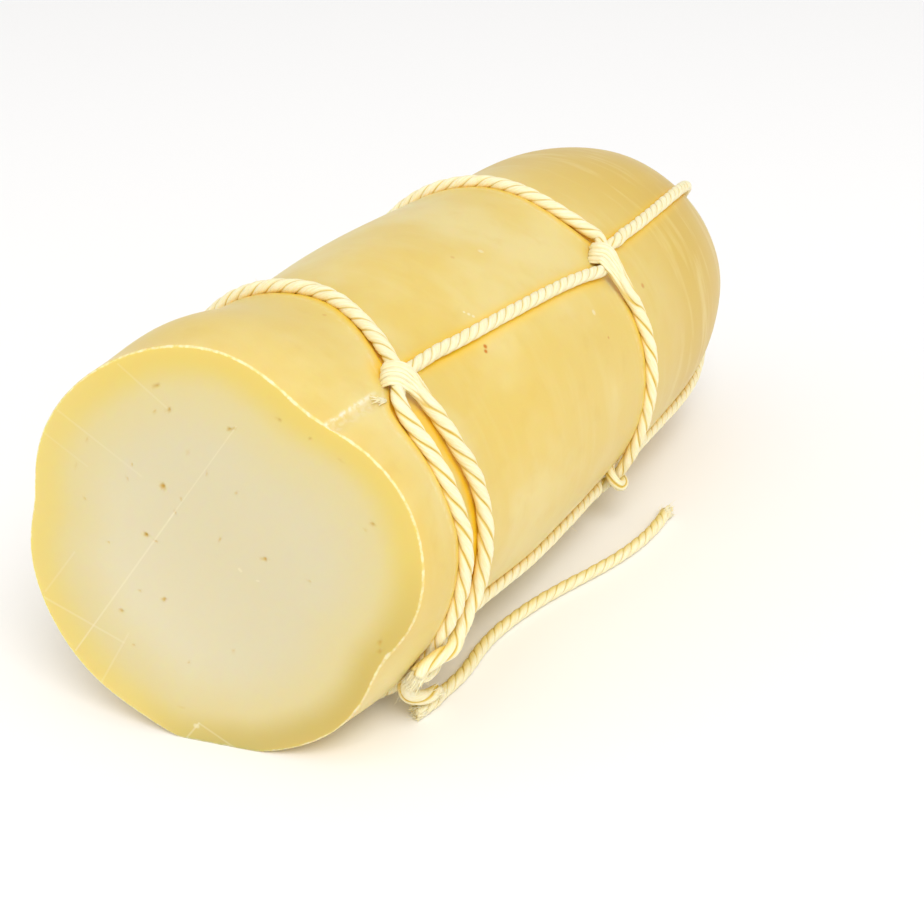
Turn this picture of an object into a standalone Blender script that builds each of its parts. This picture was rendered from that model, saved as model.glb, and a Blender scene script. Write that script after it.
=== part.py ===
"""Provolone log tied with waxed twine, cut across at one end.

The log lies on its side. It runs along +Y from the cut face to the domed end, +Z is up, and the
origin is at the middle of the underside of the tied log. Shapes are worked out in millimetres
about the log's own axis and moved to the origin when their meshes are made.
"""
import math

import bmesh
import bpy
import numpy as np

MM = 0.001

# Cheese log: lengths along its axis from the middle of the cut face, radii across it
LENGTH = 284.0
CAP_LENGTH = 78.0
CAP_POWER = 2.25
CAP_ARC = 100.0
FLOOR = 55.6
BELLY_RADIUS = 56.6
BARREL = ((-20.0, 56.6), (0.0, 57.0), (23.0, 58.1), (46.0, 54.4), (105.0, 55.4), (164.0, 53.4),
          (206.0, 51.8), (284.0, 51.0))
CUT_SLOPE_X = 0.19
CUT_SLOPE_Z = 0.10
CAP_START = LENGTH - CAP_LENGTH

# Lengthwise hollows that the tied twine left, as angle, depth and half width at the cut face
HOLLOWS = ((59.0, 9.0, 26.5), (170.5, 2.7, 14.5), (252.0, 2.6, 16.4), (334.0, 4.8, 17.2))

# Twine
TWINE_RADIUS = 2.0
SQUEEZED = 0.86
GAP = 0.3
FACET_SLACK = 0.15
HOOP_HEIGHT = 1.0
NEAR_LIFTS = (1.7, 1.7, 1.2, -0.9)
FAR_LIFTS = (1.7, 1.7, 1.2, 1.7)
HITCH_WIDTH = 13.0
# How far each hoop is drawn along the log beside its hitch, as angle and distance
NEAR_STEP = ((-75.0, 0.0), (-42.0, 1.0), (-5.0, -0.3), (6.0, -2.2), (13.0, -5.0), (19.0, -7.2),
             (25.0, -9.1), (31.0, -11.0), (37.0, -12.9), (42.0, -13.8), (46.5, -13.0), (50.0, -9.8),
             (53.5, -6.5), (60.0, -3.9), (68.0, -1.5), (76.0, 0.2), (84.0, 1.4), (92.0, 1.7),
             (102.0, 1.0), (118.0, 0.0))
FAR_STEP = ((5.0, 0.0), (12.0, -0.3), (20.0, -1.2), (26.0, -1.9), (32.0, -2.7), (38.0, -3.2),
            (44.0, -3.0), (48.0, -1.4), (52.0, 0.0), (58.0, -1.0), (66.0, -2.3), (72.0, -2.5),
            (80.0, -2.0), (88.0, -1.0), (97.0, 0.1), (110.0, 0.0))
MEAN_RADIUS = 55.0
SQUEEZE_WIDTH = 9.0
CROSSING_FLAT = 5.2
CROWN_STEP = 4.4
RUN_CLEAR = 17.0
POLE_CLEAR = 12.0
GROOVE_FLOOR = 2.4
GROOVE_EDGE = 4.0
FLOOR_CLEARANCE = 0.3
PIT_EDGE = 9.0
PIT_DEPTH = 4.1

# Grid of the cheese: lines beside each run and hoop, and further columns at fractions of the way
# from one run to the next, two of which edge the flat that the log rests on
BESIDE = (-PIT_EDGE, -GROOVE_EDGE, -GROOVE_FLOOR, GROOVE_FLOOR, GROOVE_EDGE, PIT_EDGE)
BETWEEN = ((0.14, 0.29, 0.43, 0.57, 0.71, 0.86), (0.25, 0.5, 0.75), (0.09, 0.4, 0.7), (0.2, 0.4, 0.6, 0.8))

# Angles of the four lengthwise runs, as distance along the skin and angle
RUN_UPPER = ((0.0, 54.0), (36.0, 53.5), (50.0, 53.0), (72.0, 50.8), (119.0, 47.0), (148.0, 45.0),
             (166.0, 44.9), (190.0, 47.5), (206.0, 48.5), (258.0, 51.5), (306.0, 52.0))
RUN_LEFT = ((0.0, 173.0), (306.0, 173.0))
RUN_LOWER = ((0.0, 247.0), (306.0, 247.0))
RUN_RIGHT = ((0.0, 333.0), (31.0, 322.0), (60.0, 321.0), (306.0, 323.0))
RUNS = (RUN_UPPER, RUN_LEFT, RUN_LOWER, RUN_RIGHT)
TURN_SHIFT = 3.1
POLE = CAP_START + CAP_ARC

# Middle of the log's underside, measured from the middle of the cut face
CENTRE_X = -1.4
CENTRE_Y = 140.6


def curve_through(stations, at):
    """Smooth curve through (place, value) stations, level beyond both ends."""
    places, values = np.array(stations, dtype=float).T
    slopes = np.gradient(values, places)
    slopes[0] = 0.0
    slopes[-1] = 0.0
    at = np.asarray(at, dtype=float)
    i = np.clip(np.searchsorted(places, at) - 1, 0, len(places) - 2)
    span = places[i + 1] - places[i]
    t = np.clip((at - places[i]) / span, 0.0, 1.0)
    start = (2 * t ** 3 - 3 * t ** 2 + 1) * values[i] + (t ** 3 - 2 * t ** 2 + t) * span * slopes[i]
    end = (3 * t ** 2 - 2 * t ** 3) * values[i + 1] + (t ** 3 - t ** 2) * span * slopes[i + 1]
    return start + end


def degrees_apart(a, b):
    """Signed difference of two angles in degrees, from -180 to 180."""
    return (np.asarray(a) - b + 180.0) % 360.0 - 180.0


def bell(distance, width):
    return np.exp(-(distance / width) ** 2)


def radius(angle, y):
    """Distance from the axis to the skin at an angle in degrees, leaving out the dome's closing."""
    a = np.radians(angle)
    near_face = curve_through(((5.0, 1.0), (25.0, 0.5), (46.0, 0.0)), y)
    cut_outline = 1.7 * np.cos(a) + 1.25 * np.sin(a) - 0.95 * np.cos(2 * a) - 0.2 * np.sin(2 * a)
    for middle, depth, width in HOLLOWS:
        cut_outline = cut_outline - depth * np.exp(-np.abs(degrees_apart(angle, middle) / width) ** 1.7)
    tied_outline = 0.35 * np.cos(2 * a) - 1.75 * np.sin(2 * a)
    r = curve_through(BARREL, y) + near_face * cut_outline + (1.0 - near_face) * tied_outline
    sag = bell(degrees_apart(angle, 270.0), 28.0) * curve_through(((190.0, 1.0), (240.0, 0.0)), y)
    return r + np.maximum(0.0, BELLY_RADIUS - r) * sag


def meridian(along):
    """Distance along the axis and how far the dome has closed, for a distance along the skin.

    Past the pole the closing factor is negative, so one run can cross from side to side.
    """
    over = np.clip((along - CAP_START) / CAP_ARC, 0.0, 2.0)
    swing = over * math.pi / 2
    rise = np.abs(np.sin(swing)) ** (2 / CAP_POWER)
    back = 2 * (CAP_START + CAP_ARC) - along
    y = np.where(over <= 0.0, along, np.where(over >= 2.0, back, CAP_START + CAP_LENGTH * rise))
    closing = np.sign(np.cos(swing)) * np.abs(np.cos(swing)) ** (2 / CAP_POWER)
    return y, closing


def skin(angle, along, height=0.0):
    """Point on the skin, or at a height above it, for an angle and a distance along the skin."""
    angle = np.asarray(angle, dtype=float)
    along = np.asarray(along, dtype=float)

    def bare(s):
        y, closing = meridian(s)
        true_angle = np.where(closing < 0.0, angle + 180.0, angle)
        r = radius(true_angle, y) * closing
        a = np.radians(angle)
        return np.stack([r * np.cos(a), y + 0.0 * a, r * np.sin(a)], axis=-1)

    a = np.radians(angle) + 0.0 * along
    around = np.stack([-np.sin(a), 0.0 * a, np.cos(a)], axis=-1)
    forward = bare(along + 0.5) - bare(along - 0.5)
    outward = np.cross(forward, around)
    outward /= np.linalg.norm(outward, axis=-1, keepdims=True)
    return bare(along) + outward * np.asarray(height)[..., None]


def cut_place(angle):
    """Where the slanted cut meets the skin at an angle."""
    a = np.radians(angle)
    y = np.zeros_like(a)
    for _ in range(4):
        r = radius(angle, y)
        y = CUT_SLOPE_X * r * np.cos(a) + CUT_SLOPE_Z * r * np.sin(a)
    return y


def near_hoop_place(angle):
    """The near hoop lies in a slanted plane, and steps towards the face at its hitch."""
    a = np.radians(angle)
    step = curve_through(NEAR_STEP, degrees_apart(angle, 0.0))
    return 45.7 - 10.7 * np.cos(a) + 11.2 * np.sin(a) + step


def far_hoop_place(angle):
    a = np.radians(angle)
    step = curve_through(FAR_STEP, degrees_apart(angle, 0.0))
    return 164.0 + 0.7 * np.cos(a) + 5.3 * np.sin(a) + step


def crossing(run, hoop_place):
    """Distance along the log where a run meets a hoop."""
    y = 100.0
    for _ in range(20):
        y = 0.5 * y + 0.5 * float(hoop_place(curve_through(run, y)))
    return y


NEAR_CROSSINGS = [crossing(run, near_hoop_place) for run in RUNS]
FAR_CROSSINGS = [crossing(run, far_hoop_place) for run in RUNS]


NEAR_HOOP = (near_hoop_place, NEAR_CROSSINGS, NEAR_LIFTS)
FAR_HOOP = (far_hoop_place, FAR_CROSSINGS, FAR_LIFTS)


def to_object(points):
    """From the log's own axis to the object's origin, in metres."""
    return (np.asarray(points) + np.array([-CENTRE_X, -CENTRE_Y, FLOOR])) * MM


def hitch_angles(places):
    return [float(curve_through(run, y)) for run, y in zip(RUNS, places)]


def hoop_height(angle, places, lifts):
    """Height of a hoop's middle above the skin: it rides up or sinks where it crosses a run."""
    height = HOOP_HEIGHT + 0.0 * angle
    for at, lift in zip(hitch_angles(places), lifts):
        height = height + lift * bell(degrees_apart(angle, at), HITCH_WIDTH)
    return height


def hoop_middle(angle, hoop_place, places, lifts):
    """Middle line of a hoop, kept off the floor under the log."""
    points = skin(angle, hoop_place(angle), hoop_height(angle, places, lifts))
    points[..., 2] = np.maximum(points[..., 2], -FLOOR + TWINE_RADIUS + FLOOR_CLEARANCE)
    return points


def hoop_controls(hoop_place, places, lifts, count=72):
    angle = np.arange(count) * 360.0 / count
    squeeze = sum(bell(degrees_apart(angle, at), SQUEEZE_WIDTH) for at in hitch_angles(places))
    thickness = 1.0 - (1.0 - SQUEEZED) * squeeze
    return np.column_stack([hoop_middle(angle, hoop_place, places, lifts), thickness])


def smooth_path(controls, spacing):
    """Points along a smooth curve through x, y, z, thickness controls.

    They stand closer together where the controls do, so that tight turns stay round.
    """
    controls = np.array(controls, dtype=float)
    steps = np.linalg.norm(np.diff(controls[:, :3], axis=0), axis=1)
    place = np.concatenate([[0.0], np.cumsum(steps)])
    slopes = np.gradient(controls, place, axis=0)
    parts = []
    for i, step in enumerate(steps):
        pieces = max(1, int(math.ceil(step / spacing)))
        t = (np.arange(pieces) / pieces)[:, None]
        parts.append((2 * t ** 3 - 3 * t ** 2 + 1) * controls[i]
                     + (t ** 3 - 2 * t ** 2 + t) * step * slopes[i]
                     + (3 * t ** 2 - 2 * t ** 3) * controls[i + 1]
                     + (t ** 3 - t ** 2) * step * slopes[i + 1])
    parts.append(controls[-1:])
    return np.concatenate(parts)


# Turns of a run about a hoop: steps along the run and across it, height above the skin, thickness
ROUND_TURN = ((-9.0, -2.4, 1.2, 1.0), (-4.6, -3.1, -0.9, 0.9), (0.0, -3.3, -1.6, SQUEEZED),
              (3.4, -3.0, -0.4, SQUEEZED), (4.6, -2.0, 2.7, SQUEEZED), (3.2, -0.8, 5.8, SQUEEZED),
              (0.0, 0.0, 6.8, 0.9), (-3.2, 0.8, 5.8, SQUEEZED), (-4.6, 2.0, 2.7, SQUEEZED),
              (-3.4, 3.0, -0.4, SQUEEZED), (0.0, 3.3, -1.6, SQUEEZED), (4.6, 3.1, -0.9, 0.9),
              (9.0, 2.4, 1.2, 1.0))
UNDER_PASS = ((-9.0, 0.0, 1.2, 1.0), (-4.5, 0.0, -1.2, 0.9), (0.0, 0.0, -1.9, SQUEEZED),
              (4.5, 0.0, -1.2, 0.9), (9.0, 0.0, 1.2, 1.0))
OVER_PASS = ((-2.6, -0.6, 3.8, 0.95), (0.0, 0.0, 4.3, 0.9), (4.5, 0.0, 3.3, 0.95),
             (9.0, 0.0, 1.7, 1.0))
TURN_BACK = ((9.0, 0.0, 1.3, 1.0), (4.8, 0.2, -0.3, 0.9), (0.5, 0.8, -1.2, SQUEEZED),
             (-2.6, 3.2, -0.4, SQUEEZED), (-3.9, 4.6, 2.7, SQUEEZED), (-2.4, 3.4, 5.8, SQUEEZED),
             (-0.6, 0.4, 7.0, 0.9), (-0.4, -4.0, 5.9, 0.95), (0.6, -7.6, 3.8, 1.0),
             (1.5, -11.2, 2.6, 1.0))
RUN_HEIGHT = 1.2
CROWN_HEIGHT = 2.4

# The strand that comes down the flank from the near hitch, as angle, distance along, height
FLANK_STRAND = ((36.0, 43.0, 2.4), (27.0, 44.0, 2.4), (18.0, 46.3, 2.4), (6.0, 47.0, 2.4),
                (-8.0, 45.8, 2.4), (-18.0, 44.0, 2.5), (-23.5, 41.0, 2.9), (-26.5, 37.0, 4.0),
                (-28.5, 32.6, 5.2), (-30.5, 28.4, 4.0), (-33.0, 25.4, 2.7), (-35.5, 23.4, 2.4))
# The right run's end hangs below the near hoop and turns back over the loose tail: across the
# log, along it, and height over the floor
DROPPED_END = ((45.2, 27.2, 17.4), (43.7, 26.2, 14.2), (43.5, 27.4, 11.0), (44.9, 31.2, 8.0),
               (45.8, 35.4, 6.5), (46.5, 39.0, 6.5))
# The loose tail on the floor beside the log, measured the same way
TAIL = ((43.4, 31.6, 2.1), (44.4, 34.6, 2.1), (45.1, 38.6, 2.1), (45.1, 43.8, 2.1), (45.3, 48.6, 2.1),
        (45.5, 53.6, 2.1), (44.9, 61.0, 2.1), (43.8, 69.0, 2.1), (43.4, 80.0, 2.1), (44.6, 92.0, 2.1),
        (46.8, 104.0, 2.1), (50.0, 116.0, 2.1), (53.6, 128.0, 2.1), (56.6, 140.0, 2.1),
        (58.4, 152.0, 2.1), (58.8, 164.0, 2.1), (58.0, 176.0, 2.1))


def lay(run, place, steps):
    """Controls of a turn or a pass about the crossing of a run and a hoop."""
    angle = float(curve_through(run, place))
    steps = np.array(steps)
    across = np.degrees(steps[:, 1] / float(radius(angle % 360.0, place)))
    points = skin(angle + across, place + steps[:, 0], steps[:, 2])
    return np.column_stack([points, steps[:, 3]])


def turns_of(run):
    """Places where a run takes a full turn about a hoop, which shifts it sideways."""
    k = RUNS.index(run)
    turned = ([FAR_CROSSINGS[k]] if run in (RUN_UPPER, RUN_LEFT, RUN_RIGHT) else [])
    return turned + ([NEAR_CROSSINGS[k]] if run is RUN_LEFT else [])


def track(run, along):
    """Angle of a run's twine, with its sideways shift at each full turn."""
    angle = curve_through(run, along)
    for place in turns_of(run):
        past = along - place
        angle = angle + TURN_SHIFT * np.tanh(past / 3.0) * bell(past, 18.0)
    return angle


def run_height(along):
    crown = curve_through(((CAP_START, 0.0), (CAP_START + 30.0, 1.0)), along)
    return RUN_HEIGHT + (CROWN_HEIGHT - RUN_HEIGHT) * crown


def stretch(run, start, stop):
    """Controls of a run lying on the skin between two distances along it."""
    along = np.linspace(start, stop, max(2, int(abs(stop - start) / 11.0) + 1))
    points = skin(track(run, along), along, run_height(along))
    return np.column_stack([points, np.ones(len(along))])


def strand_down_the_flank():
    angle, along, height = np.array(FLANK_STRAND).T
    return np.column_stack([skin(angle, along, height), np.ones(len(angle))])


def on_floor(places):
    """Controls from places given by their height over the floor."""
    points = np.array(places) + np.array([0.0, 0.0, -FLOOR])
    return np.column_stack([points, np.ones(len(points))])


def side_controls(k):
    """A run from its near end to the dome, with its turns about both hoops."""
    run, near, far = RUNS[k], NEAR_CROSSINGS[k], FAR_CROSSINGS[k]
    near_steps = (TURN_BACK[::-1], ROUND_TURN, UNDER_PASS, OVER_PASS)[k]
    far_steps = UNDER_PASS if run is RUN_LOWER else ROUND_TURN
    return np.concatenate([lay(run, near, near_steps), stretch(run, near + RUN_CLEAR, far - RUN_CLEAR),
                           lay(run, far, far_steps), stretch(run, far + RUN_CLEAR, POLE - POLE_CLEAR)])


def pole_controls(height):
    return np.array([[0.0, LENGTH + height, 0.0, 1.0]])


def new_material(name, colour, roughness):
    material = bpy.data.materials.new(name)
    material.use_nodes = True
    shader = material.node_tree.nodes["Principled BSDF"]
    shader.inputs["Base Color"].default_value = (*colour, 1.0)
    shader.inputs["Roughness"].default_value = roughness
    shader.inputs["Metallic"].default_value = 0.0
    return material


def add_twine(name, controls, material, spacing=7.0, closed=False):
    """A round cord along a path, as a bevelled curve with filled ends."""
    path = controls if closed else smooth_path(controls, spacing)
    curve = bpy.data.curves.new(name, "CURVE")
    curve.dimensions = "3D"
    curve.bevel_depth = TWINE_RADIUS * MM
    curve.bevel_resolution = 2
    curve.use_fill_caps = True
    spline = curve.splines.new("POLY")
    spline.points.add(len(path) - 1)
    spline.use_cyclic_u = closed
    for point, place, factor in zip(spline.points, to_object(path[:, :3]), path[:, 3]):
        point.co = (*place, 1.0)
        point.radius = factor
    curve.materials.append(material)
    twine = bpy.data.objects.new(name, curve)
    bpy.context.collection.objects.link(twine)
    return twine


def column_angles(column, along):
    """Angle of a grid column: some keep beside a run, the others share out the space between."""
    kind, k, value = column
    if kind == "beside":
        return track(RUNS[k], along) + np.degrees(value / MEAN_RADIUS)
    start = track(RUNS[k], along) + np.degrees(PIT_EDGE / MEAN_RADIUS)
    stop = track(RUNS[(k + 1) % len(RUNS)], along) - np.degrees(PIT_EDGE / MEAN_RADIUS)
    return start + value * ((stop - start) % 360.0)


def grid_columns():
    columns = []
    for k, fractions in enumerate(BETWEEN):
        columns += [("beside", k, offset) for offset in BESIDE]
        columns += [("between", k, fraction) for fraction in fractions]
    return columns


def grid_rows():
    """Rows from the cut face to the dome, as functions of the angle."""
    rows = [lambda a, f=f: (1 - f) * cut_place(a) + f * (near_hoop_place(a) - PIT_EDGE)
            for f in (0.0, 0.33, 0.67)]
    rows += [lambda a, o=o: near_hoop_place(a) + o for o in BESIDE]
    rows += [lambda a, f=f: (1 - f) * (near_hoop_place(a) + PIT_EDGE) + f * (far_hoop_place(a) - PIT_EDGE)
             for f in np.arange(1, 8) / 8.0]
    rows += [lambda a, o=o: far_hoop_place(a) + o for o in BESIDE]
    rows += [lambda a: 0.5 * (far_hoop_place(a) + PIT_EDGE + CAP_START) + 0.0 * a]
    rows += [lambda a, s=s: s + 0.0 * a for s in np.linspace(CAP_START, POLE - 5.0, 10)]
    return rows


def plateau(distance, flat, edge):
    t = np.clip((np.abs(distance) - flat) / (edge - flat), 0.0, 1.0)
    return 1.0 - t * t * (3.0 - 2.0 * t)


def hollow_depth(angle, along):
    """How far the twine has pressed the skin in at a place: grooves, and a pit at each crossing."""
    under = TWINE_RADIUS + GAP + FACET_SLACK
    depth = np.zeros_like(angle)
    for place, crossings, lifts in (NEAR_HOOP, FAR_HOOP):
        off = along - place(angle)
        middle = hoop_middle(angle, place, crossings, lifts)
        sunk = under + radius(angle % 360.0, place(angle)) - np.hypot(middle[..., 0], middle[..., 2])
        depth = np.maximum(depth, sunk * plateau(off, GROOVE_FLOOR, GROOVE_EDGE))
        for run, crossed in zip(RUNS, crossings):
            across = np.radians(degrees_apart(angle, curve_through(run, crossed))) * MEAN_RADIUS
            pit = plateau(along - crossed, CROSSING_FLAT, PIT_EDGE)
            pit = pit * plateau(across, CROSSING_FLAT, PIT_EDGE)
            depth = np.maximum(depth, PIT_DEPTH * pit)
    for run in RUNS:
        across = np.radians(degrees_apart(angle, track(run, along))) * MEAN_RADIUS
        sunk = under - run_height(along)
        depth = np.maximum(depth, sunk * plateau(across, GROOVE_FLOOR, GROOVE_EDGE))
    return depth


def add_cheese(material):
    """The log as one closed body: a grid whose rows and columns keep beside the twine."""
    columns = grid_columns()
    mesh = bmesh.new()
    rings = []
    for k, row in enumerate(grid_rows()):
        along = np.full(len(columns), 100.0)
        for _ in range(12):
            angle = np.array([float(column_angles(c, s)) for c, s in zip(columns, along)])
            along = 0.4 * along + 0.6 * row(angle)
        points = skin(angle, along, -hollow_depth(angle, along))
        points[:, 2] = np.maximum(points[:, 2], -FLOOR)
        if k == 0:
            points[:, 1] = CUT_SLOPE_X * points[:, 0] + CUT_SLOPE_Z * points[:, 2]
        rings.append([mesh.verts.new(p) for p in to_object(points)])
    tip = mesh.verts.new(to_object([[0.0, LENGTH, 0.0]])[0])
    count = len(columns)
    mesh.faces.new(rings[0])
    for low, high in zip(rings, rings[1:]):
        for i in range(count):
            j = (i + 1) % count
            mesh.faces.new((low[i], low[j], high[j], high[i]))
    for i in range(count):
        mesh.faces.new((rings[-1][i], rings[-1][(i + 1) % count], tip))
    bmesh.ops.recalc_face_normals(mesh, faces=mesh.faces)
    data = bpy.data.meshes.new("cheese")
    mesh.to_mesh(data)
    mesh.free()
    data.materials.append(material)
    data.shade_smooth()
    data.set_sharp_from_angle(angle=math.radians(40.0))
    cheese = bpy.data.objects.new("cheese", data)
    bpy.context.collection.objects.link(cheese)
    return cheese


def build():
    for leftover in list(bpy.data.objects):
        bpy.data.objects.remove(leftover)
    paste = new_material("provolone", (0.83, 0.66, 0.30), 0.42)
    cord = new_material("waxed_twine", (0.90, 0.80, 0.50), 0.60)
    add_cheese(paste)
    for name, hoop in (("twine_hoop_near", NEAR_HOOP), ("twine_hoop_far", FAR_HOOP)):
        add_twine(name, hoop_controls(*hoop), cord, closed=True)
    over_top = np.concatenate([strand_down_the_flank()[::-1], side_controls(0), pole_controls(CROWN_HEIGHT),
                               side_controls(2)[::-1]])
    add_twine("twine_over_top", over_top, cord)
    over_sides = np.concatenate([side_controls(1), pole_controls(CROWN_HEIGHT + CROWN_STEP),
                                 side_controls(3)[::-1], on_floor(DROPPED_END)])
    add_twine("twine_over_sides", over_sides, cord)
    add_twine("twine_loose_tail", on_floor(TAIL), cord, spacing=9.0)


build()
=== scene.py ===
import math

import bpy
import numpy as np
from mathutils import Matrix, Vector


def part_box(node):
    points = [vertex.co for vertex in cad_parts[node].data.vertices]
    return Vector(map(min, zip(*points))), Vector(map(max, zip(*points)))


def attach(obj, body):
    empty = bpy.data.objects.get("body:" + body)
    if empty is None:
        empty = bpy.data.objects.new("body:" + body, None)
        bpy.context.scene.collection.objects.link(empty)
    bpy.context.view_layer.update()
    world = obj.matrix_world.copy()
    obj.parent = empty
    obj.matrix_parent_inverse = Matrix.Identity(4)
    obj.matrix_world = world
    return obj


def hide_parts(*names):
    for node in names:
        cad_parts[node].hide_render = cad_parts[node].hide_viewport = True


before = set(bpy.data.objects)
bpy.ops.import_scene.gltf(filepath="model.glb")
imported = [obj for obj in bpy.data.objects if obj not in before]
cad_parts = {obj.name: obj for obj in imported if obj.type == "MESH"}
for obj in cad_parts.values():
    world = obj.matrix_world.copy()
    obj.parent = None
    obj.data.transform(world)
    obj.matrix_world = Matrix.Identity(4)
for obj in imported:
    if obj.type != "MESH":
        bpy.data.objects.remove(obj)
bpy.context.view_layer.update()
scene = bpy.context.scene
mm = 0.001
print("frame loaded")

# The camera looks down on the log from the side of the knot.
view = {"lens": 72.5, "place": (0.2638, -0.4850, 0.2948), "down": 26.27, "azimuth": 28.52}
cameraData = bpy.data.cameras.new("camera")
cameraData.lens = view["lens"]
camera = bpy.data.objects.new("camera", cameraData)
camera.location = view["place"]
camera.rotation_euler = (math.radians(90.0 - view["down"]), 0.0, math.radians(view["azimuth"]))
scene.collection.objects.link(camera)
scene.camera = camera

# The log's form, in millimetres from its own axis, as the solids have it. Angles are degrees
# from +X up towards +Z, and distances run from the middle of the cut face to the dome.
logForm = {
    "length": 284.0, "capLength": 78.0, "capPower": 2.25, "capArc": 100.0,
    "axisHeight": 55.6, "axisX": 1.4, "bellyRadius": 56.6, "meanRadius": 55.0,
    "barrel": ((-20.0, 56.6), (0.0, 57.0), (23.0, 58.1), (46.0, 54.4), (105.0, 55.4), (164.0, 53.4),
               (206.0, 51.8), (284.0, 51.0)),
    "cutSlopeX": 0.19, "cutSlopeZ": 0.10,
    "hollows": ((59.0, 9.0, 26.5), (170.5, 2.7, 14.5), (252.0, 2.6, 16.4), (334.0, 4.8, 17.2)),
}
capStart = logForm["length"] - logForm["capLength"]
pole = capStart + logForm["capArc"]
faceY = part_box("cheese")[1][1] / mm - logForm["length"]      # the cut face's place in the frame
floorZ = -logForm["axisHeight"]


def toObject(points):
    # from the log's axis in millimetres to the frame in metres
    return (np.asarray(points) + np.array([logForm["axisX"], faceY, logForm["axisHeight"]])) * mm


def cubic(t, span, values, slopes, i):
    # the cubic that has the values and slopes of stations i and i + 1, at share t of their span
    return ((2 * t ** 3 - 3 * t ** 2 + 1) * values[i] + (t ** 3 - 2 * t ** 2 + t) * span * slopes[i]
            + (3 * t ** 2 - 2 * t ** 3) * values[i + 1] + (t ** 3 - t ** 2) * span * slopes[i + 1])


def curveThrough(stations, at):
    # smooth cubic through (place, value) stations, level beyond both ends
    places, values = np.array(stations, dtype=float).T
    slopes = np.gradient(values, places)
    slopes[[0, -1]] = 0.0
    at = np.asarray(at, dtype=float)
    i = np.clip(np.searchsorted(places, at) - 1, 0, len(places) - 2)
    span = places[i + 1] - places[i]
    return cubic(np.clip((at - places[i]) / span, 0.0, 1.0), span, values, slopes, i)


def apart(a, b):
    # signed difference of two angles, from -180 to 180 degrees
    return (np.asarray(a) - b + 180.0) % 360.0 - 180.0


def unit(vectors):
    # each vector made one long
    return vectors / np.linalg.norm(vectors, axis=-1, keepdims=True)


def bell(distance, width):
    # 1 at no distance, easing to nothing at about twice the width
    return np.exp(-(distance / width) ** 2)


def logRadius(angle, y):
    # barrel radius, plus the lobed outline near the cut or the tied oval behind it; the
    # underside fills out to the flat that it rests on
    a = np.radians(angle)
    nearFace = curveThrough(((5.0, 1.0), (25.0, 0.5), (46.0, 0.0)), y)
    cutOutline = 1.7 * np.cos(a) + 1.25 * np.sin(a) - 0.95 * np.cos(2 * a) - 0.2 * np.sin(2 * a)
    for middle, depth, width in logForm["hollows"]:
        cutOutline = cutOutline - depth * np.exp(-np.abs(apart(angle, middle) / width) ** 1.7)
    tiedOutline = 0.35 * np.cos(2 * a) - 1.75 * np.sin(2 * a)
    r = curveThrough(logForm["barrel"], y) + nearFace * cutOutline + (1.0 - nearFace) * tiedOutline
    sag = bell(apart(angle, 270.0), 28.0) * curveThrough(((190.0, 1.0), (240.0, 0.0)), y)
    return r + np.maximum(0.0, logForm["bellyRadius"] - r) * sag


def meridian(along):
    # distance along the axis and how far the dome has closed: a superellipse past the cap's start
    over = np.clip((along - capStart) / logForm["capArc"], 0.0, 2.0)
    swing = over * math.pi / 2
    power = 2 / logForm["capPower"]
    onCap = capStart + logForm["capLength"] * np.abs(np.sin(swing)) ** power
    y = np.where(over <= 0.0, along, np.where(over >= 2.0, 2 * pole - along, onCap))
    return y, np.sign(np.cos(swing)) * np.abs(np.cos(swing)) ** power


def skin(angle, along, height=0.0):
    # point on the log at an angle and a distance along its skin, moved out along the normal
    angle, along = np.asarray(angle, dtype=float), np.asarray(along, dtype=float)
    a = np.radians(angle) + 0.0 * along

    def bare(s):
        y, closing = meridian(s)
        r = logRadius(np.where(closing < 0.0, angle + 180.0, angle), y) * closing
        return np.stack([r * np.cos(a), y + 0.0 * a, r * np.sin(a)], axis=-1)

    around = np.stack([-np.sin(a), 0.0 * a, np.cos(a)], axis=-1)
    outward = unit(np.cross(bare(along + 0.5) - bare(along - 0.5), around))
    return bare(along) + outward * np.asarray(height)[..., None]


# The twine's four lengthwise runs, as (distance, angle), and its two hoops.
runs = {
    "upper": ((0.0, 54.0), (36.0, 53.5), (50.0, 53.0), (72.0, 50.8), (119.0, 47.0), (148.0, 45.0),
              (166.0, 44.9), (190.0, 47.5), (206.0, 48.5), (258.0, 51.5), (306.0, 52.0)),
    "left": ((0.0, 173.0), (306.0, 173.0)),
    "lower": ((0.0, 247.0), (306.0, 247.0)),
    "right": ((0.0, 333.0), (31.0, 322.0), (60.0, 321.0), (306.0, 323.0)),
}
# Radius of the twine, heights of its middle over the skin, and how far a full turn shifts a run.
# Plain lengths keep so far from the middle of a hitch, of a turn and of the pole.
twine = {"radius": 2.0, "squeezed": 0.86, "hoopSize": 1.1, "hoopHeight": 1.0, "runHeight": 1.2,
         "crownHeight": 2.4, "overPole": 4.4, "turnShift": 3.1, "hitchWidth": 13.0,
         "floorClearance": 0.3, "hitchSpace": 20.0, "turnSpace": 17.0, "poleSpace": 12.0}


def nearHoopPlace(angle):
    # a slanted plane, which steps towards the face below its hitch
    a = np.radians(angle)
    step = curveThrough(((-75.0, 0.0), (-42.0, 1.0), (-5.0, -0.3), (6.0, -2.2), (13.0, -5.0), (19.0, -7.2),
                         (25.0, -9.1), (31.0, -11.0), (37.0, -12.9), (42.0, -13.8), (46.5, -13.0),
                         (50.0, -9.8), (53.5, -6.5), (60.0, -3.9), (68.0, -1.5), (76.0, 0.2), (84.0, 1.4),
                         (92.0, 1.7), (102.0, 1.0), (118.0, 0.0)), apart(angle, 0.0))
    return 45.7 - 10.7 * np.cos(a) + 11.2 * np.sin(a) + step


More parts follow.
